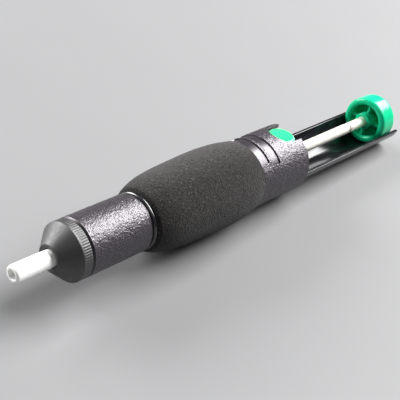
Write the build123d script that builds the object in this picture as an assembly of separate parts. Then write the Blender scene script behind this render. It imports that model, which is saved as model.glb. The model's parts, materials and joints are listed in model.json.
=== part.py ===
from build123d import *
import math
import os

os.makedirs("parts", exist_ok=True)

# Desoldering pump, in millimetres. The origin is the centre of the nozzle's mouth. +X runs
# along the pump's axis to the plunger knob, and +Z points up through the release button.
# Pushing the knob along -X squeezes the main spring until the latch plate drops into the
# plunger's groove. Pressing the button frees the plunger, and the piston shoots back.

# Driving dimensions
STROKE = 45.3                # travel of the plunger from rest to the latch
ROD_R = 2.0                  # plunger rod
NOZZLE_R = 2.7               # outside of the nozzle
NOZZLE_BORE_R = 1.5          # hole that draws the solder in
BARREL_R = 9.25              # textured front barrel
HOUSING_R = 12.0             # rear housing
BORE_R = 7.0                 # inside of the cylinder, where the piston runs
CYLINDER_R = 8.0             # outside of the cylinder
GUARD_R = 10.4               # outside of the plunger guard
GUARD_WALL = 1.1
GRIP_R = 13.7                # fattest part of the foam grip
FIT = 0.05                   # radial clearance of a running fit
SEAT = 0.02                  # gap between pieces that are fixed together

# Stations along the axis
CAP_FRONT = 12.5
CAP_CONE_END = 17.4
CAP_REAR = 20.9
BARREL_FRONT = 21.3
BARREL_REAR = 44.0
RING_FRONT = 44.75
RING_REAR = 46.1
GRIP_FRONT = 46.15
GRIP_REAR = 93.4
HOUSING_FRONT = 93.5
HOUSING_REAR = 118.2
PISTON_FRONT = 77.9
PISTON_REAR = 89.9
CYLINDER_REAR = 101.9
BUTTON_X = 113.5             # the button and the latch plate are centred here
GUARD_FRONT = 105.1
GUARD_REAR = 181.9
KNOB_FRONT = 172.0
KNOB_REAR = 179.5


def turned(*outline):
    """Solid turned about the pump's axis from (station, radius) points."""
    return revolve(make_face(Polyline(*outline, close=True)), Axis.X)


def ring(front, rear, inner, outer):
    """Plain ring about the pump's axis."""
    return turned((front, inner), (front, outer), (rear, outer), (rear, inner))


def o_ring(station, centre_r, section_r):
    """Rubber ring of round section about the pump's axis."""
    return Pos(station, 0, 0) * Rot(0, 90, 0) * Torus(centre_r, section_r)


def block(x, y, z):
    """Box between two limits on each axis."""
    size = Box(x[1] - x[0], y[1] - y[0], z[1] - z[0])
    return Pos((x[0] + x[1]) / 2, (y[0] + y[1]) / 2, (z[0] + z[1]) / 2) * size


def rounded(solid, station, radius, size):
    """Round the circular edge at a station and radius."""
    found = [
        edge
        for edge in solid.edges().filter_by(GeomType.CIRCLE)
        if abs(edge.radius - radius) < 0.01 and abs(edge.arc_center.X - station) < 0.01
    ]
    return fillet(found, size)


def coil_spring(turns, length, centre_r, wire_r):
    """Spring that stands on the XY plane, with its axis on Z."""
    rise = length - 2 * wire_r
    path = Helix(rise / turns, rise, centre_r)
    section = Plane(origin=path @ 0, z_dir=path % 0) * Circle(wire_r)
    return Pos(0, 0, wire_r) * sweep(section, path=path, is_frenet=True)


def save(solid, name):
    export_step(solid, f"parts/{name}.step")


# Nozzle -----------------------------------------------------------------------------------
FLANGE_FRONT = 14.55
FLANGE_REAR = 16.25
FLANGE_R = 5.2
NEEDLE_PASSAGE_R = 2.6       # hole in the barrel's front wall and in the spring seat


def make_nozzle_tip():
    """Heat-resistant tube, held by a flange inside the cap."""
    tip = turned(
        (0, NOZZLE_BORE_R),
        (0, NOZZLE_R),
        (FLANGE_FRONT, NOZZLE_R),
        (FLANGE_FRONT, FLANGE_R),
        (FLANGE_REAR, FLANGE_R),
        (FLANGE_REAR, NOZZLE_BORE_R),
    )
    return rounded(tip, 0, NOZZLE_R, 0.7)


def make_nozzle_seal():
    return ring(FLANGE_REAR + SEAT, CAP_CONE_END - SEAT, 1.9, FLANGE_R)


CAP_R = 9.2
CAP_MOUTH_R = 3.5            # countersunk mouth round the nozzle
NECK_R = 7.8
CAP_THREAD_R = 8.1


def make_nozzle_cap():
    """Cone with a knurled rim, screwed on the barrel's neck."""
    return turned(
        (CAP_FRONT + 0.9, NOZZLE_R + FIT),
        (CAP_FRONT, CAP_MOUTH_R),
        (CAP_FRONT, 3.9),
        (CAP_FRONT + 0.3, 4.3),
        (CAP_CONE_END, CAP_R - 0.3),
        (CAP_CONE_END + 0.3, CAP_R),
        (CAP_REAR - 0.15, CAP_R),
        (CAP_REAR, CAP_R - 0.15),
        (CAP_REAR, CAP_THREAD_R),
        (CAP_CONE_END, CAP_THREAD_R),
        (CAP_CONE_END, FLANGE_R + 0.1),
        (FLANGE_FRONT - SEAT, FLANGE_R + 0.1),
        (FLANGE_FRONT - SEAT, NOZZLE_R + FIT),
    )


# Front barrel, cylinder and grip ----------------------------------------------------------
WALL_REAR = 18.6             # rear face of the barrel's front wall
CYLINDER_FRONT = 22.6
O_RING_X = 20.3
O_RING_SEAT_R = 7.2


def make_front_barrel():
    """Textured moulding: neck for the cap, front wall, and sleeve over the cylinder."""
    return turned(
        (CAP_CONE_END + SEAT, NEEDLE_PASSAGE_R),
        (CAP_CONE_END + SEAT, NECK_R - 0.3),
        (CAP_CONE_END + 0.3, NECK_R),
        (O_RING_X - 0.45, NECK_R),
        (O_RING_X - 0.45, O_RING_SEAT_R),
        (O_RING_X + 0.45, O_RING_SEAT_R),
        (O_RING_X + 0.45, NECK_R),
        (BARREL_FRONT, NECK_R),
        (BARREL_FRONT, BARREL_R - 0.6),
        (BARREL_FRONT + 0.8, BARREL_R),
        (BARREL_REAR - 0.8, BARREL_R),
        (BARREL_REAR, BARREL_R - 0.6),
        (BARREL_REAR, 8.6),
        (RING_FRONT - SEAT, 8.6),
        (RING_FRONT - SEAT, CYLINDER_R + SEAT),
        (CYLINDER_FRONT - SEAT, CYLINDER_R + SEAT),
        (CYLINDER_FRONT - SEAT, 6.9),
        (WALL_REAR, 6.9),
        (WALL_REAR, NEEDLE_PASSAGE_R),
    )


def make_cap_o_ring():
    section_r = 0.42
    return o_ring(O_RING_X, O_RING_SEAT_R + SEAT + section_r, section_r)


def make_cylinder():
    return ring(CYLINDER_FRONT, CYLINDER_REAR, BORE_R, CYLINDER_R)


def make_trim_ring():
    trim = ring(RING_FRONT, RING_REAR, CYLINDER_R + SEAT, 9.3)
    trim = rounded(trim, RING_FRONT, 9.3, 0.5)
    return rounded(trim, RING_REAR, 9.3, 0.3)


def make_foam_grip():
    """Barrel-shaped foam sleeve, fattest in its rear half."""
    inner = CYLINDER_R + SEAT
    crown = Spline(
        (GRIP_FRONT + 0.9, 10.5),
        (51.3, 12.0),
        (58.9, 13.05),
        (72.4, GRIP_R),
        (86.4, 13.35),
        (GRIP_REAR - 0.7, HOUSING_R + 0.4),
    )
    front_lip = ThreePointArc((GRIP_FRONT, 9.3), (GRIP_FRONT + 0.25, 10.0), crown @ 0)
    rear_lip = ThreePointArc(crown @ 1, (GRIP_REAR - 0.15, HOUSING_R + 0.25), (GRIP_REAR, HOUSING_R))
    inside = Polyline(
        (GRIP_REAR, HOUSING_R), (GRIP_REAR, inner), (GRIP_FRONT, inner), (GRIP_FRONT, 9.3)
    )
    return revolve(make_face(front_lip + crown + rear_lip + inside), Axis.X)


# Spring and piston ------------------------------------------------------------------------
SPRING_FRONT = 20.3
SPIGOT_REAR = 22.3
SPRING_CENTRE_R = 5.6
SPRING_WIRE_R = 0.5
SPIGOT_R = 4.8               # centres each end of the main spring
BAR_R = 1.45                 # rod's front end, inside the piston
NEEDLE_R = 0.8
NEEDLE_FRONT = 43.5
NEEDLE_REAR = 81.4
PISTON_SIDE_R = 6.9
RING_GROOVE_X = 84.4
RING_GROOVE_HALF = 0.7
RING_GROOVE_R = 5.9


def make_spring_seat():
    """Flanged washer that centres the main spring on the barrel's front wall."""
    return turned(
        (WALL_REAR + SEAT, NEEDLE_PASSAGE_R),
        (WALL_REAR + SEAT, 6.8),
        (SPRING_FRONT, 6.8),
        (SPRING_FRONT, SPIGOT_R),
        (SPIGOT_REAR - 0.2, SPIGOT_R),
        (SPIGOT_REAR, SPIGOT_R - 0.2),
        (SPIGOT_REAR, NEEDLE_PASSAGE_R),
    )


def make_main_spring():
    length = PISTON_FRONT - SPRING_FRONT - 2 * SEAT
    spring = coil_spring(10, length, SPRING_CENTRE_R, SPRING_WIRE_R)
    return Pos(SPRING_FRONT + SEAT, 0, 0) * Rot(0, 90, 0) * spring


def make_piston():
    """Plunger head with a groove for its ring and a spigot inside the spring."""
    return turned(
        (PISTON_FRONT - 3, NEEDLE_R + SEAT),
        (PISTON_FRONT - 3, SPIGOT_R - 0.4),
        (PISTON_FRONT - 2.6, SPIGOT_R),
        (PISTON_FRONT, SPIGOT_R),
        (PISTON_FRONT, PISTON_SIDE_R - 0.3),
        (PISTON_FRONT + 0.3, PISTON_SIDE_R),
        (RING_GROOVE_X - RING_GROOVE_HALF, PISTON_SIDE_R),
        (RING_GROOVE_X - RING_GROOVE_HALF, RING_GROOVE_R),
        (RING_GROOVE_X + RING_GROOVE_HALF, RING_GROOVE_R),
        (RING_GROOVE_X + RING_GROOVE_HALF, PISTON_SIDE_R),
        (PISTON_REAR - 0.3, PISTON_SIDE_R),
        (PISTON_REAR, PISTON_SIDE_R - 0.3),
        (PISTON_REAR, BAR_R + SEAT),
        (NEEDLE_REAR + SEAT, BAR_R + SEAT),
        (NEEDLE_REAR + SEAT, NEEDLE_R + SEAT),
    )


def make_piston_o_ring():
    section_r = 0.52
    return o_ring(RING_GROOVE_X, RING_GROOVE_R + SEAT + section_r, section_r)


def make_cleaning_needle():
    """Pin that clears the nozzle at the end of each push."""
    return turned(
        (NEEDLE_FRONT, 0),
        (NEEDLE_FRONT, 0.35),
        (NEEDLE_FRONT + 1.2, NEEDLE_R),
        (NEEDLE_REAR, NEEDLE_R),
        (NEEDLE_REAR, 0),
    )


# Plunger rod and knob ---------------------------------------------------------------------
CLIP_FRONT = PISTON_REAR + SEAT
CLIP_REAR = CLIP_FRONT + 0.7
CLIP_GROOVE_R = 1.5
LATCH_GROOVE_X = BUTTON_X + STROKE
LATCH_GROOVE_HALF = 1.0
ROD_REAR = 176.5
SCREW_R = 1.0
SCREW_FRONT = 170.0
SCREW_HEAD_R = 2.1
SCREW_HEAD_FRONT = 178.1
SCREW_HEAD_REAR = 179.3


def make_plunger_rod():
    return turned(
        (NEEDLE_REAR + 2 * SEAT, 0),
        (NEEDLE_REAR + 2 * SEAT, BAR_R),
        (PISTON_REAR, BAR_R),
        (CLIP_REAR + SEAT, CLIP_GROOVE_R),
        (CLIP_REAR + SEAT, ROD_R - 0.2),
        (CLIP_REAR + 0.3, ROD_R),
        (LATCH_GROOVE_X - LATCH_GROOVE_HALF, ROD_R),
        (LATCH_GROOVE_X - LATCH_GROOVE_HALF, 1.4),
        (LATCH_GROOVE_X + LATCH_GROOVE_HALF, 1.4),
        (LATCH_GROOVE_X + LATCH_GROOVE_HALF, ROD_R),
        (ROD_REAR, ROD_R),
        (ROD_REAR, SCREW_R + SEAT),
        (SCREW_FRONT - 0.5, SCREW_R + SEAT),
        (SCREW_FRONT - 0.5, 0),
    )


def make_piston_clip():
    """Retaining ring with a gap, in the rod's groove behind the piston."""
    clip = ring(CLIP_FRONT, CLIP_REAR, CLIP_GROOVE_R + SEAT, 3.8)
    return clip - block((CLIP_FRONT - 1, CLIP_REAR + 1), (-0.9, 0.9), (0, 5))


KNOB_R = 9.1
CUP_R = 6.5
CUP_FLOOR = 176.9
HUB_R = 3.3
HUB_FRONT = 170.8
RIB_HALF_THICK = 0.6


def make_plunger_knob():
    """Cup that opens to the front, with a hub for the rod and four ribs."""
    shell = turned(
        (KNOB_FRONT, CUP_R),
        (KNOB_FRONT, KNOB_R),
        (KNOB_REAR, KNOB_R),
        (KNOB_REAR, 0),
        (CUP_FLOOR, 0),
        (CUP_FLOOR, CUP_R),
    )
    shell = rounded(shell, KNOB_FRONT, KNOB_R, 1.2)
    shell = rounded(shell, KNOB_FRONT, CUP_R, 0.8)
    shell = rounded(shell, KNOB_REAR, KNOB_R, 1.4)
    hub = ring(HUB_FRONT, CUP_FLOOR, 0, HUB_R)
    rib = block(
        (KNOB_FRONT + 1.2, CUP_FLOOR), (-CUP_R - 0.5, CUP_R + 0.5), (-RIB_HALF_THICK, RIB_HALF_THICK)
    )
    knob = shell + hub + rib + Rot(90, 0, 0) * rib
    knob -= ring(HUB_FRONT - 1, ROD_REAR + SEAT, 0, ROD_R + SEAT)
    knob -= ring(ROD_REAR, KNOB_REAR, 0, SCREW_R + SEAT)
    return knob - ring(SCREW_HEAD_FRONT, KNOB_REAR + 1, 0, SCREW_HEAD_R + 0.1)


def make_knob_screw():
    """Cross-head screw that holds the knob on the rod."""
    screw = turned(
        (SCREW_FRONT, 0),
        (SCREW_FRONT, SCREW_R),
        (SCREW_HEAD_FRONT + SEAT, SCREW_R),
        (SCREW_HEAD_FRONT + SEAT, SCREW_HEAD_R),
        (SCREW_HEAD_REAR - 0.4, SCREW_HEAD_R),
        (SCREW_HEAD_REAR, SCREW_HEAD_R - 0.5),
        (SCREW_HEAD_REAR, 0),
    )
    for angle in (0, 90):
        cross = block((SCREW_HEAD_REAR - 0.8, KNOB_REAR + 1), (-1.2, 1.2), (-0.25, 0.25))
        screw -= Rot(angle, 0, 0) * cross
    return screw


# Rear housing -----------------------------------------------------------------------------
GUIDE_FRONT = 93.8
GUIDE_FLANGE_REAR = 104.3
CHAMBER_FRONT = 104.5        # chamber that holds the guard, the latch and the button
CHAMBER_R = GUARD_R + FIT
SLOT_HALF = 5.1              # half-width of the button's slot
BAND_R = 11.5                # recessed smooth bands over the top
BANDS = {"front": (HOUSING_FRONT - 1, 97.8, 42), "rear": (99.0, 102.8, 50)}


def sector(front, rear, inner, outer, half_angle):
    """Part of a ring, centred on the top, out to an angle on each side."""
    face = make_face(
        Polyline((front, inner), (front, outer), (rear, outer), (rear, inner), close=True)
    )
    # The face lies at +Y, a quarter turn from the top.
    return Rot(90 - half_angle, 0, 0) * revolve(face, Axis.X, 2 * half_angle)


def make_rear_housing():
    """Textured moulding with two recessed bands and an open slot for the button."""
    housing = turned(
        (HOUSING_FRONT, CYLINDER_R + SEAT),
        (HOUSING_FRONT, HOUSING_R - 0.3),
        (HOUSING_FRONT + 0.3, HOUSING_R),
        (HOUSING_REAR - 0.5, HOUSING_R),
        (HOUSING_REAR, HOUSING_R - 0.5),
        (HOUSING_REAR, CHAMBER_R),
        (CHAMBER_FRONT, CHAMBER_R),
        (CHAMBER_FRONT, CYLINDER_R + SEAT),
    )
    for front, rear, half_angle in BANDS.values():
        housing -= sector(front, rear, BAND_R, HOUSING_R + 1, half_angle)
    slot_round = Pos(BUTTON_X, 0, HOUSING_R) * Cylinder(SLOT_HALF, 12)
    slot_open = block(
        (BUTTON_X, HOUSING_REAR + 1), (-SLOT_HALF, SLOT_HALF), (HOUSING_R - 6, HOUSING_R + 6)
    )
    return housing - slot_round - slot_open


def make_rod_guide():
    """Plug that closes the cylinder and guides the rod."""
    return turned(
        (GUIDE_FRONT, ROD_R + FIT),
        (GUIDE_FRONT, BORE_R - SEAT),
        (CYLINDER_REAR + SEAT, BORE_R - SEAT),
        (CYLINDER_REAR + SEAT, CYLINDER_R - SEAT),
        (GUIDE_FLANGE_REAR, CYLINDER_R - SEAT),
        (GUIDE_FLANGE_REAR, ROD_R + FIT),
    )


def make_piston_bumper():
    """Rubber ring that stops the piston at the end of its return."""
    return ring(PISTON_REAR + 0.3, GUIDE_FRONT - 0.1, 4.3, PISTON_SIDE_R)


PLUG_FRONT = 115.9
GUARD_EDGE_Z = -1.9          # height of the guard's two long edges


def make_end_plug():
    """Bush that closes the housing's rear end round the rod, below the button."""
    plug = ring(PLUG_FRONT, HOUSING_REAR - 0.2, ROD_R + FIT, GUARD_R - GUARD_WALL - SEAT)
    crown = ring(PLUG_FRONT, HOUSING_REAR - 0.2, GUARD_R - GUARD_WALL - 1, GUARD_R)
    plug += crown & block((100, 130), (-20, 20), (GUARD_EDGE_Z + 0.1, 20))
    return plug - block((100, 130), (-6.4, 6.4), (5.0, 20))


def make_plunger_guard():
    """Half pipe that shields the plunger, open along its top."""
    pipe = ring(GUARD_FRONT, GUARD_REAR, GUARD_R - GUARD_WALL, GUARD_R)
    return pipe & block((100, 200), (-20, 20), (-20, GUARD_EDGE_Z))


# Latch and button -------------------------------------------------------------------------
BUTTON_R = 4.8
BUTTON_TOP = 10.4
BUTTON_BASE = 7.2
BUTTON_CHAMFER = 0.6
PRESS = 1.8                  # travel of the button
PLATE_BASE = -4.6
PLATE_HALF_THICK = 0.7


def make_latch_plate():
    """Steel plate with a tall hole, whose lower edge catches the plunger's groove."""
    x = (BUTTON_X - PLATE_HALF_THICK, BUTTON_X + PLATE_HALF_THICK)
    hole_r = ROD_R + FIT
    plate = block(x, (-4.5, 4.5), (PLATE_BASE, BUTTON_BASE))
    for lift in (0, PRESS):
        plate -= Pos(BUTTON_X, 0, lift) * Rot(0, 90, 0) * Cylinder(hole_r, 4)
    return plate - block((x[0] - 1, x[1] + 1), (-hole_r, hole_r), (0, PRESS))


def make_release_button():
    """Round button with a chamfered rim and two wings that hold it in the housing."""
    height = BUTTON_TOP - BUTTON_BASE
    button = Pos(BUTTON_X, 0, (BUTTON_TOP + BUTTON_BASE) / 2) * Cylinder(BUTTON_R, height)
    button = chamfer(button.edges().group_by(Axis.Z)[-1], BUTTON_CHAMFER)
    wings = block((BUTTON_X - 2.5, BUTTON_X + 2.5), (-5.6, 5.6), (BUTTON_BASE, 8.2))
    return button + wings


def make_button_spring():
    """Small spring under the latch plate, which stands on the guard's inside."""
    foot = -(GUARD_R - GUARD_WALL) + SEAT + 0.15
    spring = coil_spring(4, PLATE_BASE - SEAT - foot, 1.3, 0.2)
    return Pos(BUTTON_X, 0, foot) * spring


PARTS = {
    "nozzle_tip": make_nozzle_tip,
    "nozzle_seal": make_nozzle_seal,
    "nozzle_cap": make_nozzle_cap,
    "front_barrel": make_front_barrel,
    "cap_o_ring": make_cap_o_ring,
    "cylinder": make_cylinder,
    "trim_ring": make_trim_ring,
    "foam_grip": make_foam_grip,
    "spring_seat": make_spring_seat,
    "main_spring": make_main_spring,
    "piston": make_piston,
    "piston_o_ring": make_piston_o_ring,
    "cleaning_needle": make_cleaning_needle,
    "plunger_rod": make_plunger_rod,
    "piston_clip": make_piston_clip,
    "plunger_knob": make_plunger_knob,
    "knob_screw": make_knob_screw,
    "piston_bumper": make_piston_bumper,
    "rod_guide": make_rod_guide,
    "rear_housing": make_rear_housing,
    "end_plug": make_end_plug,
    "plunger_guard": make_plunger_guard,
    "latch_plate": make_latch_plate,
    "release_button": make_release_button,
    "button_spring": make_button_spring,
}

for name, make in PARTS.items():
    save(make(), name)
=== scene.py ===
import json
import math

import bmesh
import bpy
import numpy as np
from mathutils import Matrix, Vector, noise
from mathutils.bvhtree import BVHTree


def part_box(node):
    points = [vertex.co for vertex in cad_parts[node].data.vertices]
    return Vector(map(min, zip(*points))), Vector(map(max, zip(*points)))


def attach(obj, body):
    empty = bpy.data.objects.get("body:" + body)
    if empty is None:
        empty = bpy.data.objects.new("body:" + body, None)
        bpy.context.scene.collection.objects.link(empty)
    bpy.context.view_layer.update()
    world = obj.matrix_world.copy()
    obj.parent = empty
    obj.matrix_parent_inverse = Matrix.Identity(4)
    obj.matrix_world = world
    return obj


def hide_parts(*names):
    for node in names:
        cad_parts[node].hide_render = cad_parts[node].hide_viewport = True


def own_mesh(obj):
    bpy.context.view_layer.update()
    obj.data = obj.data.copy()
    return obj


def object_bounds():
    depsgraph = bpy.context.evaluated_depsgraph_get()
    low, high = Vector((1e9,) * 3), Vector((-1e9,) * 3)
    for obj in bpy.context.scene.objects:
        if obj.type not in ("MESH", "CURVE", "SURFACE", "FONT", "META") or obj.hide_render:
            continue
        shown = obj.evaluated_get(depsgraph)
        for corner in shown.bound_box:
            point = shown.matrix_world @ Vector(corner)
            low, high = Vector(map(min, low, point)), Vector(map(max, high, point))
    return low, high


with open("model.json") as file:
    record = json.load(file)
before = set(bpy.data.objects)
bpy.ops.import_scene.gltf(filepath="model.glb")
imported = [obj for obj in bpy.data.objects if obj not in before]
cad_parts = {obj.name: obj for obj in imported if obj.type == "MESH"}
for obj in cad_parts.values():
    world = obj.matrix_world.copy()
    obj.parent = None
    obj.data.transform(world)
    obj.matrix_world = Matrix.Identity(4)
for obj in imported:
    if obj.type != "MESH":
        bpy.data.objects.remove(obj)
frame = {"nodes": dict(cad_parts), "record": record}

# Looks for the desoldering pump. Outlines are in millimetres, as (station, radius) points
# about the pump's axis, which is the X axis. MM turns them into metres.
MM = 0.001
SMOOTH_ANGLE = 38       # degrees between two faces that still shade as one surface
ARC_STEP = 15           # degrees of a rounded corner between two points
CAD_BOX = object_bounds()


def span(node):
    """First and last station and outer radius of a CAD node, in millimetres."""
    low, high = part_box(node)
    return low.x / MM, high.x / MM, high.y / MM


# Meshes -----------------------------------------------------------------------------------


def new_piece(name, verts, faces, material):
    mesh = bpy.data.meshes.new(name)
    mesh.from_pydata([tuple(v) for v in verts], [], faces)
    mesh.materials.append(material)
    piece = bpy.data.objects.new(name, mesh)
    bpy.context.scene.collection.objects.link(piece)
    return outward(piece)


def outward(piece):
    """Turn the faces of a closed piece outward, with smooth shading between gentle angles."""
    mesh = bmesh.new()
    mesh.from_mesh(piece.data)
    if mesh.calc_volume(signed=True) < 0:
        bmesh.ops.reverse_faces(mesh, faces=mesh.faces)
    mesh.to_mesh(piece.data)
    mesh.free()
    piece.data.shade_smooth()
    piece.data.set_sharp_from_angle(angle=math.radians(SMOOTH_ANGLE))
    return piece


def rounded(corners):
    """Closed outline from (x, r, rounding) corners, with an arc at each rounded corner."""
    points = []
    count = len(corners)
    for i, (x, r, rounding) in enumerate(corners):
        here = Vector((x, r))
        if not rounding:
            points.append(here)
            continue
        to_last = (Vector(corners[i - 1][:2]) - here).normalized()
        to_next = (Vector(corners[(i + 1) % count][:2]) - here).normalized()
        half = to_last.angle(to_next) / 2
        centre = here + (to_last + to_next).normalized() * rounding / math.sin(half)
        start = here + to_last * rounding / math.tan(half) - centre
        end = here + to_next * rounding / math.tan(half) - centre
        steps = max(3, round((math.pi - 2 * half) / math.radians(ARC_STEP)))
        for k in range(steps + 1):
            points.append(centre + start.lerp(end, k / steps).normalized() * rounding)
    return points


def refined(points, step, first, last, closed=True):
    """Outline with extra points at most a step apart where it runs rearward between stations."""
    margin = 1e-3
    found = []
    for here, there in zip(points, points[1:] + points[:1] if closed else points[1:]):
        found.append(here)
        inside = min(here.x, there.x) >= first - margin and max(here.x, there.x) <= last + margin
        if inside and there.x > here.x:
            parts = max(1, math.ceil((there - here).length / step))
            found += [here.lerp(there, k / parts) for k in range(1, parts)]
    return found if closed else found + points[-1:]


def lathe(name, outline, segments, material, relief=None):
    """Solid turned about the X axis. relief(x, r, angle) gives the height added to the radius."""
    on_axis = outline[0].y < 1e-6
    rows = [p for p in outline if p.y > 1e-6]
    angles = [2 * math.pi * j / segments for j in range(segments)]
    verts = []
    for point in rows:
        for angle in angles:
            r = point.y + (relief(point.x, point.y, angle) if relief else 0)
            verts.append((point.x * MM, r * math.sin(angle) * MM, r * math.cos(angle) * MM))
    faces = []
    pairs = len(rows) - 1 if on_axis else len(rows)
    for i in range(pairs):
        a, b = i * segments, (i + 1) % len(rows) * segments
        for j in range(segments):
            k = (j + 1) % segments
            faces.append((a + j, a + k, b + k, b + j))
    if on_axis:
        last = (len(rows) - 1) * segments
        verts += [(outline[0].x * MM, 0, 0), (outline[-1].x * MM, 0, 0)]
        for j in range(segments):
            k = (j + 1) % segments
            faces.append((len(verts) - 2, k, j))
            faces.append((len(verts) - 1, last + j, last + k))
    return new_piece(name, verts, faces, material)


def prism(name, section, low, high, material, place=Matrix()):
    """Solid with a flat (x, y) section between two heights, then put in place."""
    count = len(section)
    verts = [place @ Vector((p[0], p[1], z)) * MM for z in (low, high) for p in section]
    faces = [tuple(range(count))[::-1], tuple(range(count, 2 * count))]
    for j in range(count):
        k = (j + 1) % count
        faces.append((j, k, count + k, count + j))
    return new_piece(name, verts, faces, material)


def applied(piece):
    """Replace the piece's mesh by what its modifiers make of it."""
    shown = piece.evaluated_get(bpy.context.evaluated_depsgraph_get())
    mesh = bpy.data.meshes.new_from_object(shown)
    piece.modifiers.clear()
    piece.data = mesh
    return piece


def combine(piece, other, operation):
    """Boolean of two closed pieces. The other one is used up."""
    change = piece.modifiers.new("combine", "BOOLEAN")
    change.object = other
    change.operation = operation
    change.solver = "EXACT"
    bpy.context.view_layer.update()
    applied(piece)
    bpy.data.objects.remove(other)
    return outward(piece)


def soften(piece, width, segments=2):
    """Small rounded edges, in millimetres, wherever two faces meet at a sharp angle."""
    bevel = piece.modifiers.new("edges", "BEVEL")
    bevel.width = width * MM
    bevel.segments = segments
    bevel.limit_method = "ANGLE"
    bevel.angle_limit = math.radians(35)
    bevel.use_clamp_overlap = True
    return piece


def coil(name, length, centre_r, wire_r, turns, closed_turns, material, place):
    """Spring along X with closed ends, as a tube round a helix whose pitch opens in the middle."""
    around = 28
    steps = int(turns * around)
    sides = 12
    share = np.linspace(0, 1, steps + 1)
    closed = closed_turns / turns
    open_share = np.clip((share - closed) / (1 - 2 * closed), 0, 1)
    tight = 2 * wire_r * closed_turns
    rise = (np.minimum(share, closed) + np.maximum(share - 1 + closed, 0)) / closed * tight
    rise += open_share * (length - 2 * wire_r - 2 * tight) + wire_r
    angle = 2 * math.pi * turns * share
    line = np.stack([rise, centre_r * np.sin(angle), centre_r * np.cos(angle)], axis=1)
    along = np.gradient(line, axis=0)
    along /= np.linalg.norm(along, axis=1)[:, None]
    out = np.stack([0 * angle, np.sin(angle), np.cos(angle)], axis=1)
    side = np.cross(along, out)
    verts = []
    for j in range(steps + 1):
        for k in range(sides):
            turn = 2 * math.pi * k / sides
            offset = out[j] * math.cos(turn) + side[j] * math.sin(turn)
            verts.append(place @ Vector((line[j] + wire_r * offset) * MM))
    faces = [tuple(range(sides)), tuple(range(steps * sides, (steps + 1) * sides))[::-1]]
    for j in range(steps):
        for k in range(sides):
            m = (k + 1) % sides
            faces.append((j * sides + k, (j + 1) * sides + k, (j + 1) * sides + m, j * sides + m))
    return new_piece(name, verts, faces, material)


# Surface relief ---------------------------------------------------------------------------


def ramp(value, low, high):
    """Smooth step from 0 to 1 between two values."""
    t = min(1.0, max(0.0, (value - low) / (high - low)))
    return t * t * (3 - 2 * t)


def on_surface(x, r, angle):
    return Vector((x, r * math.sin(angle), r * math.cos(angle)))


def leather_grain(x, r, angle, cell, height):
    """Rounded pebbles between creases, of a cell size in millimetres."""
    point = on_surface(x, r, angle) / cell
    bend = noise.noise_vector(point * 0.9) * 0.35
    near = noise.voronoi(point + bend)[0]
    pebble = min(1.0, (near[1] - near[0]) * 2.0)
    return height * (pebble ** 0.8 - 0.75 + 0.5 * noise.noise(point * 0.4))


def foam_grain(x, r, angle):
    """Gentle waves and open pores of foam."""
    point = on_surface(x, r, angle)
    waves = 0.06 * noise.noise(point * 0.16)
    pores = 0.05 * noise.noise(point * 1.6) + 0.05 * noise.noise(point * 3.1)
    return waves + pores - 0.08


# Materials --------------------------------------------------------------------------------


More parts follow.
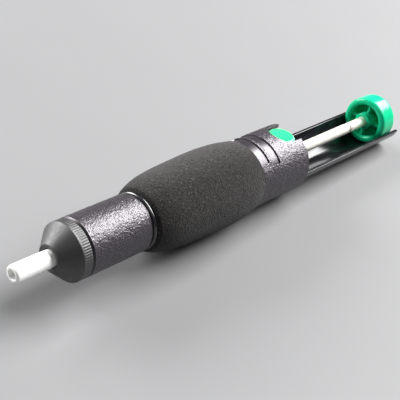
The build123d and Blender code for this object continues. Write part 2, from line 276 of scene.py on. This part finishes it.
class Material:
    """Procedural material: a Principled shader with noise in its colour, roughness and bump."""

    def __init__(self, name, colour, roughness, **values):
        self.material = bpy.data.materials.new(name)
        self.material.use_nodes = True
        self.tree = self.material.node_tree
        self.shader = self.tree.nodes["Principled BSDF"]
        self.shader.inputs["Base Color"].default_value = (*colour, 1)
        self.shader.inputs["Roughness"].default_value = roughness
        self.set(self.shader, values)
        self.colour = colour
        self.roughness = roughness
        self.place = self.node("ShaderNodeTexCoord").outputs["Object"]
        self.bump_out = None

    def set(self, node, values):
        sockets = {socket.name.lower(): socket for socket in node.inputs}
        for name, value in values.items():
            sockets[name.replace("_", " ").lower()].default_value = value

    def node(self, kind, **values):
        made = self.tree.nodes.new(kind)
        self.set(made, values)
        return made

    def link(self, out, into):
        self.tree.links.new(out, into)

    def stretched(self, scale):
        """Object coordinates, scaled differently along each axis."""
        mapping = self.node("ShaderNodeMapping", scale=scale)
        self.link(self.place, mapping.inputs["Vector"])
        return mapping.outputs["Vector"]

    def noise(self, size, detail=3.0, stretch=None, rough=0.55):
        """Noise with features of about a size in millimetres."""
        scale = 1 / (size * MM)
        made = self.node("ShaderNodeTexNoise", scale=scale, detail=detail, roughness=rough)
        self.link(self.stretched(stretch) if stretch else self.place, made.inputs["Vector"])
        return made.outputs["Fac"]

    def cells(self, size):
        """Distance to the nearest of many points, about a size in millimetres apart."""
        made = self.node("ShaderNodeTexVoronoi", scale=1 / (size * MM))
        self.link(self.place, made.inputs["Vector"])
        return made.outputs["Distance"]

    def mapped(self, value, low, high, to_low, to_high):
        """A value's range low to high, stretched to another range and clamped."""
        made = self.node("ShaderNodeMapRange")
        made.inputs["From Min"].default_value = low
        made.inputs["From Max"].default_value = high
        made.inputs["To Min"].default_value = to_low
        made.inputs["To Max"].default_value = to_high
        self.link(value, made.inputs["Value"])
        return made.outputs["Result"]

    def mix(self, share, other, base=None):
        """Mix the colour so far with another one, by a share."""
        made = self.node("ShaderNodeMix")
        made.data_type = "RGBA"
        colour_in = self.shader.inputs["Base Color"]
        a = [s for s in made.inputs if s.name == "A" and s.type == "RGBA"][0]
        b = [s for s in made.inputs if s.name == "B" and s.type == "RGBA"][0]
        result = [s for s in made.outputs if s.type == "RGBA"][0]
        a.default_value = (*self.colour, 1)
        if colour_in.is_linked:
            self.link(colour_in.links[0].from_socket, a)
        b.default_value = (*other, 1)
        self.link(share, made.inputs["Factor"])
        self.link(result, colour_in)
        return self

    def rough(self, value, spread):
        """Vary the roughness by a noise value."""
        out = self.mapped(value, 0.3, 0.7, self.roughness - spread, self.roughness + spread)
        self.link(out, self.shader.inputs["Roughness"])
        return self

    def bump(self, height, distance):
        """Bump of a height in millimetres, on top of the bumps so far."""
        made = self.node("ShaderNodeBump")
        made.inputs["Distance"].default_value = distance * MM
        made.inputs["Strength"].default_value = 1.0
        self.link(height, made.inputs["Height"])
        if self.bump_out:
            self.link(self.bump_out, made.inputs["Normal"])
        self.bump_out = made.outputs["Normal"]
        self.link(self.bump_out, self.shader.inputs["Normal"])
        return self


def shell_texture():
    """Black plastic with a leather-like crinkle and a purple-grey sheen on its pebbles."""
    m = Material("textured_shell", (0.009, 0.008, 0.0103), 0.42, specular_ior_level=0.95)
    m.shader.inputs["Specular Tint"].default_value = (1.0, 0.93, 1.0, 1)
    m.mix(m.mapped(m.noise(0.5, 4), 0.42, 0.7, 0, 1), (0.028, 0.023, 0.032))
    m.rough(m.noise(0.4, 4), 0.1)
    return m.bump(m.noise(0.2, 4), 0.04).bump(m.noise(0.55, 3), 0.06).material


def shell_smooth():
    """The same plastic where the mould is polished: bevels and recessed bands."""
    m = Material("smooth_shell", (0.018, 0.016, 0.02), 0.36, coat_weight=0.08, coat_roughness=0.2)
    m.shader.inputs["Specular Tint"].default_value = (1.0, 0.9, 1.0, 1)
    m.mix(m.mapped(m.noise(6, 4), 0.45, 0.75, 0, 0.5), (0.03, 0.028, 0.034))
    return m.rough(m.noise(1.5, 5), 0.05).bump(m.noise(0.5, 3), 0.006).material


def satin_black():
    """Smooth black plastic with faint lines along its length."""
    m = Material("satin_black", (0.009, 0.0085, 0.009), 0.54, specular_ior_level=1.0)
    m.mix(m.mapped(m.noise(5, 5), 0.4, 0.75, 0, 0.6), (0.02, 0.019, 0.02))
    m.rough(m.noise(0.9, 5, stretch=(0.25, 1, 1)), 0.07)
    return m.bump(m.noise(0.12, 3), 0.01).bump(m.noise(1.6, 2), 0.012).material


def gloss_black(name, shine, level):
    """Polished black plastic. The level is how strongly it reflects."""
    m = Material(name, (0.008, 0.008, 0.01), shine, specular_ior_level=level)
    m.mix(m.mapped(m.noise(9, 5), 0.5, 0.8, 0, 0.5), (0.022, 0.022, 0.026))
    return m.rough(m.noise(2.2, 6, stretch=(0.2, 1, 1)), 0.06).bump(m.noise(3, 2), 0.008).material


def foam_material():
    """Charcoal closed-cell foam: fine pores, pale flecks and no shine."""
    m = Material("foam", (0.007, 0.0065, 0.0063), 0.95, specular_ior_level=0.12, sheen_weight=0.1)
    m.shader.inputs["Sheen Roughness"].default_value = 0.6
    m.mix(m.mapped(m.noise(0.7, 4, rough=0.7), 0.42, 0.62, 0, 1), (0.030, 0.0262, 0.025))
    m.mix(m.mapped(m.cells(1.2), 0.16, 0.09, 0, 0.7), (0.16, 0.145, 0.137))
    m.mix(m.mapped(m.noise(11, 3), 0.45, 0.75, 0, 0.3), (0.026, 0.023, 0.0225))
    return m.bump(m.noise(0.6, 5, rough=0.7), 0.3).bump(m.cells(0.5), 0.1).material


def rubber(name, colour, shine):
    """Matt rubber with paler bloom."""
    m = Material(name, colour, shine, specular_ior_level=0.4)
    m.mix(m.mapped(m.noise(1.5, 4), 0.4, 0.7, 0, 0.5), tuple(c * 1.8 for c in colour))
    return m.rough(m.noise(0.6, 4), 0.08).bump(m.noise(0.25, 3), 0.015).material


def metal(name, colour, shine, grain, metallic=1.0):
    """Steel or aluminium with fine lines along a direction."""
    m = Material(name, colour, shine, metallic=metallic)
    m.mix(m.mapped(m.noise(3, 4), 0.35, 0.75, 0, 0.6), tuple(c * 0.82 for c in colour))
    lines = m.noise(0.15, 4, stretch=grain)
    return m.rough(lines, 0.07).bump(lines, 0.004).material


def moulded(name, colour, deep, shine, **values):
    """Bright moulded plastic with faint flow marks."""
    m = Material(name, colour, shine, **values)
    m.mix(m.mapped(m.noise(4, 4), 0.35, 0.7, 0, 0.55), deep)
    m.rough(m.noise(1.2, 5), 0.05)
    return m.bump(m.noise(0.35, 3), 0.006).bump(m.noise(2.5, 2), 0.01).material


def white_ptfe():
    """White heat-resistant plastic, slightly translucent and unevenly white."""
    m = Material("white_ptfe", (0.93, 0.925, 0.9), 0.38, subsurface_weight=0.25)
    m.shader.inputs["Subsurface Radius"].default_value = (0.9 * MM, 0.8 * MM, 0.7 * MM)
    m.shader.inputs["Subsurface Scale"].default_value = 1.0
    m.mix(m.mapped(m.noise(1.8, 5), 0.5, 0.8, 0, 0.35), (0.84, 0.83, 0.79))
    m.rough(m.noise(0.8, 4), 0.06)
    return m.bump(m.noise(0.5, 4, stretch=(0.15, 1, 1)), 0.012).material


SHELL = shell_texture()
SHELL_SMOOTH = shell_smooth()
SATIN = satin_black()
GUARD_GLOSS = gloss_black("gloss_black", 0.16, 0.3)
RING_GLOSS = gloss_black("ring_gloss", 0.27, 1.0)
FOAM = foam_material()
BLACK_RUBBER = rubber("black_rubber", (0.012, 0.012, 0.012), 0.5)
GREY_RUBBER = rubber("grey_rubber", (0.16, 0.155, 0.15), 0.6)
ALUMINIUM = metal("cylinder_aluminium", (0.78, 0.78, 0.8), 0.24, (1, 0.06, 0.06))
SPRING_STEEL = metal("spring_steel", (0.5, 0.5, 0.52), 0.26, (0.3, 1, 1))
BRIGHT_STEEL = metal("bright_steel", (0.66, 0.66, 0.68), 0.22, (0.2, 1, 1))
ROD_STEEL = metal("rod_steel", (0.97, 0.95, 0.86), 0.36, (0.1, 1, 1), metallic=0.55)
INNER_PLASTIC = moulded("inner_plastic", (0.6, 0.58, 0.52), (0.5, 0.48, 0.43), 0.42)
MINT = moulded("mint_green", (0.008, 0.5, 0.235), (0.006, 0.43, 0.2), 0.16, specular_ior_level=0.2)
BUTTON_GREEN = moulded(
    "button_green", (0.01, 0.86, 0.19), (0.008, 0.76, 0.16), 0.35, specular_ior_level=0.35
)
# Paler mint for the button's top edge: a painted highlight where the chamfer catches the light.
BUTTON_EDGE_PAINTED_HIGHLIGHT = moulded("button_edge_painted_highlight", (0.2, 0.74, 0.46), (0.16, 0.68, 0.4), 0.3, coat_weight=0.15)
PTFE = white_ptfe()

# Material and edge rounding of each CAD node that stays.
CAD_LOOKS = {
    "nozzle_seal": (GREY_RUBBER, 0.1),
    "cap_o_ring": (BLACK_RUBBER, 0),
    "cylinder": (ALUMINIUM, 0.1),
    "spring_seat": (INNER_PLASTIC, 0.12),
    "piston": (INNER_PLASTIC, 0.12),
    "piston_o_ring": (BLACK_RUBBER, 0),
    "cleaning_needle": (BRIGHT_STEEL, 0),
    "piston_clip": (SPRING_STEEL, 0.08),
    "knob_screw": (BRIGHT_STEEL, 0.05),
    "piston_bumper": (GREY_RUBBER, 0.2),
    "rod_guide": (INNER_PLASTIC, 0.15),
    "end_plug": (SATIN, 0.12),
    "latch_plate": (BRIGHT_STEEL, 0.1),
}


def dress_cad_nodes():
    """Give the carried-over nodes their materials and small rounded edges."""
    for name, (material, edge) in CAD_LOOKS.items():
        node = frame["nodes"][name]
        node.data.materials.clear()
        node.data.materials.append(material)
        if edge:
            soften(node, edge)


def stands_for(piece, node, body):
    """Put a piece on a CAD node's body in the node's stead, and hide the node."""
    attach(piece, body)
    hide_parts(node)
    return piece


# Nozzle and cap ---------------------------------------------------------------------------
THREAD_PITCH = 1.25
THREAD_ROOT = 7.5
THREAD_HEIGHT = 0.34
THREAD_GAP = 0.12
NOZZLE_R = 2.7
NOZZLE_BORE = 1.5
FLANGE_SEAT = 2.05      # from the cap's front to the nozzle's flange
SLEEVE_BORE = 8.02      # of everything that is slid over the cylinder


def thread(x, angle):
    """Height of the thread's ridge, on a helix that the unscrewing cap follows."""
    phase = (x / THREAD_PITCH + angle / (2 * math.pi)) % 1.0
    return THREAD_HEIGHT * ramp(1 - abs(2 * phase - 1), 0.25, 0.75)


def make_nozzle_tip():
    front, rear, flange_r = span("nozzle_tip")
    cap_front = span("nozzle_cap")[0]
    flange = cap_front + FLANGE_SEAT
    outline = rounded([
        (front, NOZZLE_BORE, 0.2),
        (front, NOZZLE_R, 0.75),
        (flange, NOZZLE_R, 0),
        (flange, flange_r, 0.15),
        (rear, flange_r, 0.15),
        (rear, NOZZLE_BORE, 0.1),
    ])
    piece = lathe("nozzle", refined(outline, 0.6, front, rear), 96, PTFE)
    stands_for(piece, "nozzle_tip", "nozzle")


def make_nozzle_cap():
    front, rear, rim_r = span("nozzle_cap")
    cone_end = front + 4.9
    flange_seat = front + 2.03
    mouth_r = 2.75
    flange_r = 5.3
    thread_r = 8.1
    teeth = 72
    knurl_depth = 0.095

    def relief(x, r, angle):
        if r > rim_r - 0.18 and x > cone_end + 0.2:
            groove = abs(2 * ((teeth * angle / (2 * math.pi)) % 1) - 1)
            ends = ramp(x, cone_end + 0.7, cone_end + 1.0) * ramp(r, rim_r - 0.18, rim_r - 0.02)
            return -knurl_depth * ends * ramp(groove, 0.25, 0.95)
        if abs(r - thread_r) < 0.01 and cone_end + 0.3 < x < rear - 0.3:
            return THREAD_ROOT + THREAD_GAP + thread(x, angle) - thread_r
        return 0

    outline = rounded([
        (front + 0.9, mouth_r, 0),
        (front, 3.5, 0.12),
        (front, 4.2, 0.3),
        (cone_end, 8.9, 0),
        (cone_end + 0.3, rim_r, 0.2),
        (rear, rim_r, 0.18),
        (rear, thread_r, 0.12),
        (cone_end, thread_r, 0),
        (cone_end, flange_r, 0),
        (flange_seat, flange_r, 0),
        (flange_seat, mouth_r, 0),
    ])
    outline = refined(outline, 0.2, front, rear)
    outline = refined(outline[::-1], 0.1, cone_end + 0.01, rear)[::-1]
    piece = lathe("cap", outline, teeth * 8, SATIN, relief)
    stands_for(piece, "nozzle_cap", "cap")


# Front barrel, ring and grip --------------------------------------------------------------
GRAIN_CELL = 0.64
GRAIN_HEIGHT = 0.11
HOUSING_GRAIN_HEIGHT = 0.14


def paint(piece, material, chosen):
    """Give a second material to the faces whose centre, in millimetres, is chosen."""
    piece.data.materials.append(material)
    for face in piece.data.polygons:
        if chosen(face.center / MM):
            face.material_index = 1


def make_front_barrel():
    front, rear, barrel_r = span("front_barrel")
    shoulder = front + 3.88
    sleeve_end = rear - 0.73
    bevel = 0.45
    neck_r = 7.8
    o_ring_r = 7.2
    nose_bore = 2.6
    chamber_r = 6.9
    spigot_r = 8.6
    wall_front, wall_rear = front + 1.18, shoulder + 1.28
    groove_front, groove_rear = shoulder - 1.45, shoulder - 0.55

    def relief(x, r, angle):
        if x > shoulder + 0.3 and r > barrel_r - 0.05:
            edge = ramp(x, shoulder + bevel, shoulder + bevel + 0.4)
            edge *= ramp(-x, -sleeve_end + bevel, -sleeve_end + bevel + 0.4)
            return edge * leather_grain(x, r, angle, GRAIN_CELL, GRAIN_HEIGHT)
        if abs(r - neck_r) < 0.01 and front + 0.3 < x < groove_front - 0.05:
            return THREAD_ROOT + thread(x, angle) - neck_r
        return 0

    outline = rounded([
        (front, nose_bore, 0.1),
        (front, neck_r - 0.3, 0),
        (front + 0.28, neck_r, 0),
        (groove_front, neck_r, 0),
        (groove_front, o_ring_r, 0.1),
        (groove_rear, o_ring_r, 0.1),
        (groove_rear, neck_r, 0),
        (shoulder, neck_r, 0),
        (shoulder, barrel_r - 0.45, 0.12),
        (shoulder + bevel, barrel_r, 0.2),
        (sleeve_end - bevel, barrel_r, 0.2),
        (sleeve_end, barrel_r - 0.45, 0.12),
        (sleeve_end, spigot_r, 0),
        (rear, spigot_r, 0),
        (rear, SLEEVE_BORE, 0),
        (wall_rear, SLEEVE_BORE, 0),
        (wall_rear, chamber_r, 0),
        (wall_front, chamber_r, 0),
        (wall_front, nose_bore, 0),
    ])
    outline = refined(outline, 0.1, front, groove_front)
    outline = refined(outline, 0.145, shoulder + 0.3, sleeve_end - 0.3)
    piece = lathe("barrel_shell", outline, 400, SHELL, relief)

    def is_smooth(centre):
        return not shoulder + bevel < centre.x < sleeve_end - bevel

    paint(piece, SHELL_SMOOTH, is_smooth)
    stands_for(piece, "front_barrel", "body")


def make_trim_ring():
    front, rear, ring_r = span("trim_ring")
    edge = 0.64
    outline = rounded([
        (front, SLEEVE_BORE, 0),
        (front, ring_r, edge),
        (rear, ring_r, edge),
        (rear, SLEEVE_BORE, 0),
    ])
    piece = lathe("grip_ring", refined(outline, 0.3, front, rear), 160, RING_GLOSS)
    stands_for(piece, "trim_ring", "body")


def outer_profile(node, stations):
    """Outer radius of a CAD node at each station, found by looking in from the side."""
    tree = BVHTree.FromObject(frame["nodes"][node], bpy.context.evaluated_depsgraph_get())
    start = 50 * MM
    points = []
    for x in stations:
        hit = tree.ray_cast(Vector((x * MM, -start, 0)), Vector((0, 1, 0)))[0]
        points.append(Vector((x, -hit.y / MM)))
    return points


def make_foam_grip():
    """Foam sleeve with the CAD node's crown, in rings about a quarter of a millimetre apart."""
    front, rear, _ = span("foam_grip")
    lip = 0.06
    count = round((rear - front) / 0.25)
    stations = [front + lip + (rear - front - 2 * lip) * k / count for k in range(count + 1)]
    crown = outer_profile("foam_grip", stations)
    face = [Vector((rear, crown[-1].y - 0.25)), Vector((rear, SLEEVE_BORE))]
    face += [Vector((front, SLEEVE_BORE)), Vector((front, crown[0].y - 0.4))]

    def relief(x, r, angle):
        return foam_grain(x, r, angle) if r > SLEEVE_BORE + 0.5 else 0

    piece = lathe("grip_foam", crown + face, 340, FOAM, relief)
    stands_for(piece, "foam_grip", "body")


# Rear housing -----------------------------------------------------------------------------
BAND_FLOOR = 11.5
BANDS = ((-1.0, 4.3, 42), (5.5, 9.3, 50))   # first and last station behind the front, half angle
SLOT_HALF = 5.1


def make_rear_housing():
    front, rear, housing_r = span("rear_housing")
    button_low, button_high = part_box("release_button")
    slot_x = (button_low.x + button_high.x) / 2 / MM
    chamber_front = front + 11.0
    chamber_r = 10.45
    edge = 0.45

    def slot_distance(x, r, angle):
        """How far a point of the top lies outside the button's slot, seen from above."""
        y = r * math.sin(angle)
        if math.cos(angle) < 0:
            return 99.0
        return math.hypot(min(0, x - slot_x), y) - SLOT_HALF

    def band_depth(x, angle):
        off_top = abs(math.degrees(math.atan2(math.sin(angle), math.cos(angle))))
        for start, end, half in BANDS:
            if front + start < x < front + end and off_top < half:
                return housing_r - BAND_FLOOR
        return 0.0

    def relief(x, r, angle):
        if r < housing_r - 0.01:
            return 0
        depth = band_depth(x, angle)
        if depth:
            return -depth
        outside = slot_distance(x, r, angle)
        lip = 0.3
        drop = 0.0
        if outside < lip:
            drop = lip - math.sqrt(max(0.0, lip ** 2 - (lip - max(outside, 0.0)) ** 2))
        plain = min(ramp(outside, 0.2, 0.7), ramp(rear - x, 0.5, 0.9))
        return plain * leather_grain(x, r, angle, GRAIN_CELL, HOUSING_GRAIN_HEIGHT) - drop

    edges = [front + s for band in BANDS for s in band[:2] if s > 0]
    corners = [(front, SLEEVE_BORE, 0), (front, housing_r - 0.08, 0), (front + 0.08, housing_r, 0)]
    for station in edges:
        corners += [(station - 0.04, housing_r, 0), (station + 0.04, housing_r, 0)]
    corners += [
        (rear - edge, housing_r, 0.2),
        (rear, housing_r - edge, 0.15),
        (rear, chamber_r, 0.1),
        (chamber_front, chamber_r, 0),
        (chamber_front, SLEEVE_BORE, 0),
    ]
    outline = refined(rounded(corners), 0.16, front + 0.08, rear - 0.3)
    piece = lathe("housing_shell", outline, 480, SHELL, relief)

    arc = [math.radians(90 + 180 * k / 32) for k in range(33)]
    section = [(slot_x + SLOT_HALF * math.cos(a), SLOT_HALF * math.sin(a)) for a in arc]
    section += [(rear + 2, -SLOT_HALF), (rear + 2, SLOT_HALF)]
    combine(piece, prism("slot", section, 5, 16, SHELL_SMOOTH), "DIFFERENCE")

    def is_smooth(centre):
        r = math.hypot(centre.y, centre.z)
        angle = math.atan2(centre.y, centre.z)
        outside = slot_distance(centre.x, r, angle)
        return r < housing_r - 0.35 or outside < 0.25 or centre.x > rear - 0.5

    piece.data.materials.clear()
    piece.data.materials.append(SHELL)
    for face in piece.data.polygons:
        face.material_index = 0
    paint(piece, SHELL_SMOOTH, is_smooth)
    stands_for(piece, "rear_housing", "body")


def make_guard():
    """Half pipe with softly rounded long edges."""
    low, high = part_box("plunger_guard")
    outer = -low.z / MM
    wall = 1.1
    edge_z = high.z / MM
    inner = outer - wall
    steps = 72

    def arc(radius):
        start = math.asin(-edge_z / radius)
        turns = [start + (math.pi - 2 * start) * k / steps for k in range(steps + 1)]
        return [(radius * math.cos(a), -radius * math.sin(a)) for a in turns]

    section = arc(outer) + arc(inner)[::-1]
    upright = Matrix(((0, 0, 1), (1, 0, 0), (0, 1, 0))).to_4x4()
    piece = prism("guard", section, low.x / MM, high.x / MM, GUARD_GLOSS, upright)
    soften(piece, 0.22, segments=3)
    stands_for(piece, "plunger_guard", "body")


# Plunger ----------------------------------------------------------------------------------


def make_rod():
    front, rear, rod_r = span("plunger_rod")
    button_low, button_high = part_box("release_button")
    stroke = frame["record"]["behaviour"]["joints"][0]["range_m"][1] / MM
    groove = (button_low.x + button_high.x) / 2 / MM + stroke
    shoulder = front + 9.2
    spigot_r = 1.45
    groove_r = 1.4
    half = 1.0
    outline = [Vector((front, 0))] + rounded([
        (front, spigot_r, 0.15),
        (shoulder, spigot_r, 0),
        (shoulder, rod_r, 0.15),
        (groove - half, rod_r, 0.12),
        (groove - half, groove_r, 0.1),
        (groove + half, groove_r, 0.1),
        (groove + half, rod_r, 0.12),
        (rear, rod_r, 0.1),
        (rear, 0.3, 0),
    ])
    outline.append(Vector((rear, 0)))
    piece = lathe("rod", refined(outline, 2.0, front, rear, closed=False), 64, ROD_STEEL)
    stands_for(piece, "plunger_rod", "plunger")


def make_knob():
    """Cup with a rolled rim, a hub for the rod, and four ribs."""
    front, rear, knob_r = span("plunger_knob")
    cup_r = 6.5
    floor = front + 4.9
    hub_r = 3.3
    hub_front = front - 1.2
    rod_r = 2.02
    screw_r = 1.02
    head_r = 2.2
    outline = rounded([
        (front, cup_r, 0.9),
        (front, knob_r, 1.25),
        (rear, knob_r, 1.5),
        (rear, head_r, 0.15),
        (rear - 1.4, head_r, 0),
        (rear - 1.4, screw_r, 0),
        (rear - 3.0, screw_r, 0),
        (rear - 3.0, rod_r, 0),
        (hub_front, rod_r, 0.2),
        (hub_front, hub_r, 0.35),
        (floor, hub_r, 0.4),
        (floor, cup_r, 0.5),
    ])
    piece = lathe("knob", refined(outline, 0.5, front, rear), 144, MINT)
    half = 0.55
    section = [(front + 1.2, -half), (floor + 0.5, -half), (floor + 0.5, half), (front + 1.2, half)]
    for quarter in range(4):
        turn = Matrix.Rotation(math.radians(90 * quarter), 4, "X")
        rib = prism("rib", section, hub_r - 0.4, cup_r + 0.6, MINT, turn)
        soften(rib, 0.2, segments=3)
        bpy.context.view_layer.update()
        combine(piece, applied(rib), "UNION")
    stands_for(piece, "plunger_knob", "plunger")


# Button and springs -----------------------------------------------------------------------


def make_button():
    low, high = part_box("release_button")
    centre = Vector(((low.x + high.x) / 2, 0, 0))
    base, top = low.z / MM, high.z / MM
    button_r = (high.x - low.x) / 2 / MM
    dish = [Vector((top - 0.16, 0.0)), Vector((top - 0.13, 1.5)), Vector((top - 0.07, 2.8))]
    outline = [Vector((base, 0))] + rounded([
        (base, button_r, 0.1),
        (top - 0.6, button_r, 0.2),
        (top, button_r - 0.7, 0.15),
        (top - 0.03, button_r - 1.3, 0),
    ]) + dish[::-1]
    piece = lathe("button_cap", outline, 96, BUTTON_GREEN)
    piece.data.transform(Matrix.Translation(centre) @ Matrix.Rotation(math.radians(-90), 4, "Y"))
    wing_x, wing_y = 2.5, high.y / MM
    section = [(-wing_x, -wing_y), (wing_x, -wing_y), (wing_x, wing_y), (-wing_x, wing_y)]
    place = Matrix.Translation(centre / MM)
    wings = soften(prism("wings", section, base, base + 1.0, BUTTON_GREEN, place), 0.15)
    bpy.context.view_layer.update()
    combine(piece, applied(wings), "UNION")

    def is_painted_highlight_edge(p):
        return p.z > top - 0.75 and math.hypot(p.x - centre.x / MM, p.y) > button_r - 0.75

    # Faces round the button's top edge take the paler mint, which is a painted highlight.
    paint(piece, BUTTON_EDGE_PAINTED_HIGHLIGHT, is_painted_highlight_edge)
    stands_for(piece, "release_button", "button")


def make_springs():
    """Both springs, each with a mesh of its own."""
    low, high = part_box("main_spring")
    length = (high.x - low.x) / MM
    place = Matrix.Translation((low.x, 0, 0))
    piece = coil("return_spring", length, 5.6, 0.5, 10.5, 1.0, SPRING_STEEL, place)
    stands_for(piece, "main_spring", "body")
    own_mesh(piece)

    low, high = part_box("button_spring")
    length = (high.z - low.z) / MM
    centre = Vector(((low.x + high.x) / 2, 0, low.z))
    place = Matrix.Translation(centre) @ Matrix.Rotation(math.radians(-90), 4, "Y")
    piece = coil("latch_spring", length, 1.3, 0.2, 5.0, 1.0, SPRING_STEEL, place)
    stands_for(piece, "button_spring", "body")
    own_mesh(piece)


# Stage ------------------------------------------------------------------------------------
CAMERA_AZIMUTH = -54.5
CAMERA_ELEVATION = 33.8
CAMERA_ROLL = -13.9
CAMERA_DISTANCE = 0.2838
CAMERA_LENS = 80.1
CAMERA_AIM = 0.393      # share of the object's length that the camera looks at
CAMERA_ASIDE = -0.0029


def direction(azimuth, elevation):
    """Unit vector from the object towards a viewer. Azimuth 0 looks along +Y."""
    a, e = math.radians(azimuth), math.radians(elevation)
    return Vector((math.sin(a) * math.cos(e), -math.cos(a) * math.cos(e), math.sin(e)))


def make_camera():
    data = bpy.data.cameras.new("camera")
    data.lens = CAMERA_LENS
    data.sensor_width = 36
    data.clip_start = 0.01
    data.clip_end = 20
    camera = bpy.data.objects.new("camera", data)
    low, high = CAD_BOX
    target = Vector((low.x + CAMERA_AIM * (high.x - low.x), CAMERA_ASIDE, 0))
    back = direction(CAMERA_AZIMUTH, CAMERA_ELEVATION)
    camera.location = target + back * CAMERA_DISTANCE
    camera.rotation_mode = "QUATERNION"
    level = (-back).to_track_quat("-Z", "Y")
    roll = Matrix.Rotation(math.radians(-CAMERA_ROLL), 3, "Z").to_quaternion()
    camera.rotation_quaternion = level @ roll
    bpy.context.scene.collection.objects.link(camera)
    bpy.context.scene.camera = camera


def make_floor():
    """Pale table that the grip and the guard's rear end rest on."""
    touch_share = 0.58      # of the grip's length, where it is fattest
    gap = 0.0002
    grip_low, grip_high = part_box("foam_grip")
    guard_low, guard_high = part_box("plunger_guard")
    touch_x = grip_low.x + touch_share * (grip_high.x - grip_low.x)
    touch = Vector((touch_x, 0, grip_low.z - gap))
    slope = math.atan2(guard_low.z - touch.z, guard_high.x - touch.x)
    half = 3.0
    mesh = bpy.data.meshes.new("floor")
    corners = [(-half, -half, 0), (half, -half, 0), (half, half, 0), (-half, half, 0)]
    mesh.from_pydata(corners, [], [(0, 1, 2, 3)])
    m = Material("floor", (0.2, 0.2, 0.203), 0.6, specular_ior_level=0.25)
    m.mix(m.mapped(m.noise(40, 4), 0.4, 0.7, 0, 0.3), (0.19, 0.19, 0.193))
    mesh.materials.append(m.material)
    floor = bpy.data.objects.new("floor", mesh)
    floor.location = touch
    floor.rotation_euler = (0, -slope, 0)
    bpy.context.scene.collection.objects.link(floor)


def softbox(name, azimuth, elevation, distance, size, power):
    """Large rectangular lamp that points at the object from a direction."""
    data = bpy.data.lights.new(name, "AREA")
    data.shape = "RECTANGLE"
    data.size, data.size_y = size
    data.energy = power
    lamp = bpy.data.objects.new(name, data)
    low, high = CAD_BOX
    away = direction(azimuth, elevation)
    lamp.location = (low + high) / 2 + away * distance
    lamp.rotation_mode = "QUATERNION"
    lamp.rotation_quaternion = away.to_track_quat("Z", "Y")
    bpy.context.scene.collection.objects.link(lamp)


def make_lights():
    softbox("key", 78, 46, 1.6, (1.2, 1.0), 84)
    softbox("rear", -163, 24, 1.6, (1.1, 0.8), 50)
    softbox("fill", -60, 50, 1.6, (0.9, 0.9), 3)
    world = bpy.data.worlds.new("studio")
    world.use_nodes = True
    world.node_tree.nodes["Background"].inputs["Color"].default_value = (0.8, 0.82, 0.85, 1)
    world.node_tree.nodes["Background"].inputs["Strength"].default_value = 0.11
    bpy.context.scene.world = world
    bpy.context.scene.view_settings.view_transform = "Standard"


dress_cad_nodes()
make_nozzle_tip()
make_nozzle_cap()
make_front_barrel()
make_trim_ring()
make_foam_grip()
make_rear_housing()
make_guard()
make_rod()
make_knob()
make_button()
make_springs()
make_camera()
make_floor()
make_lights()
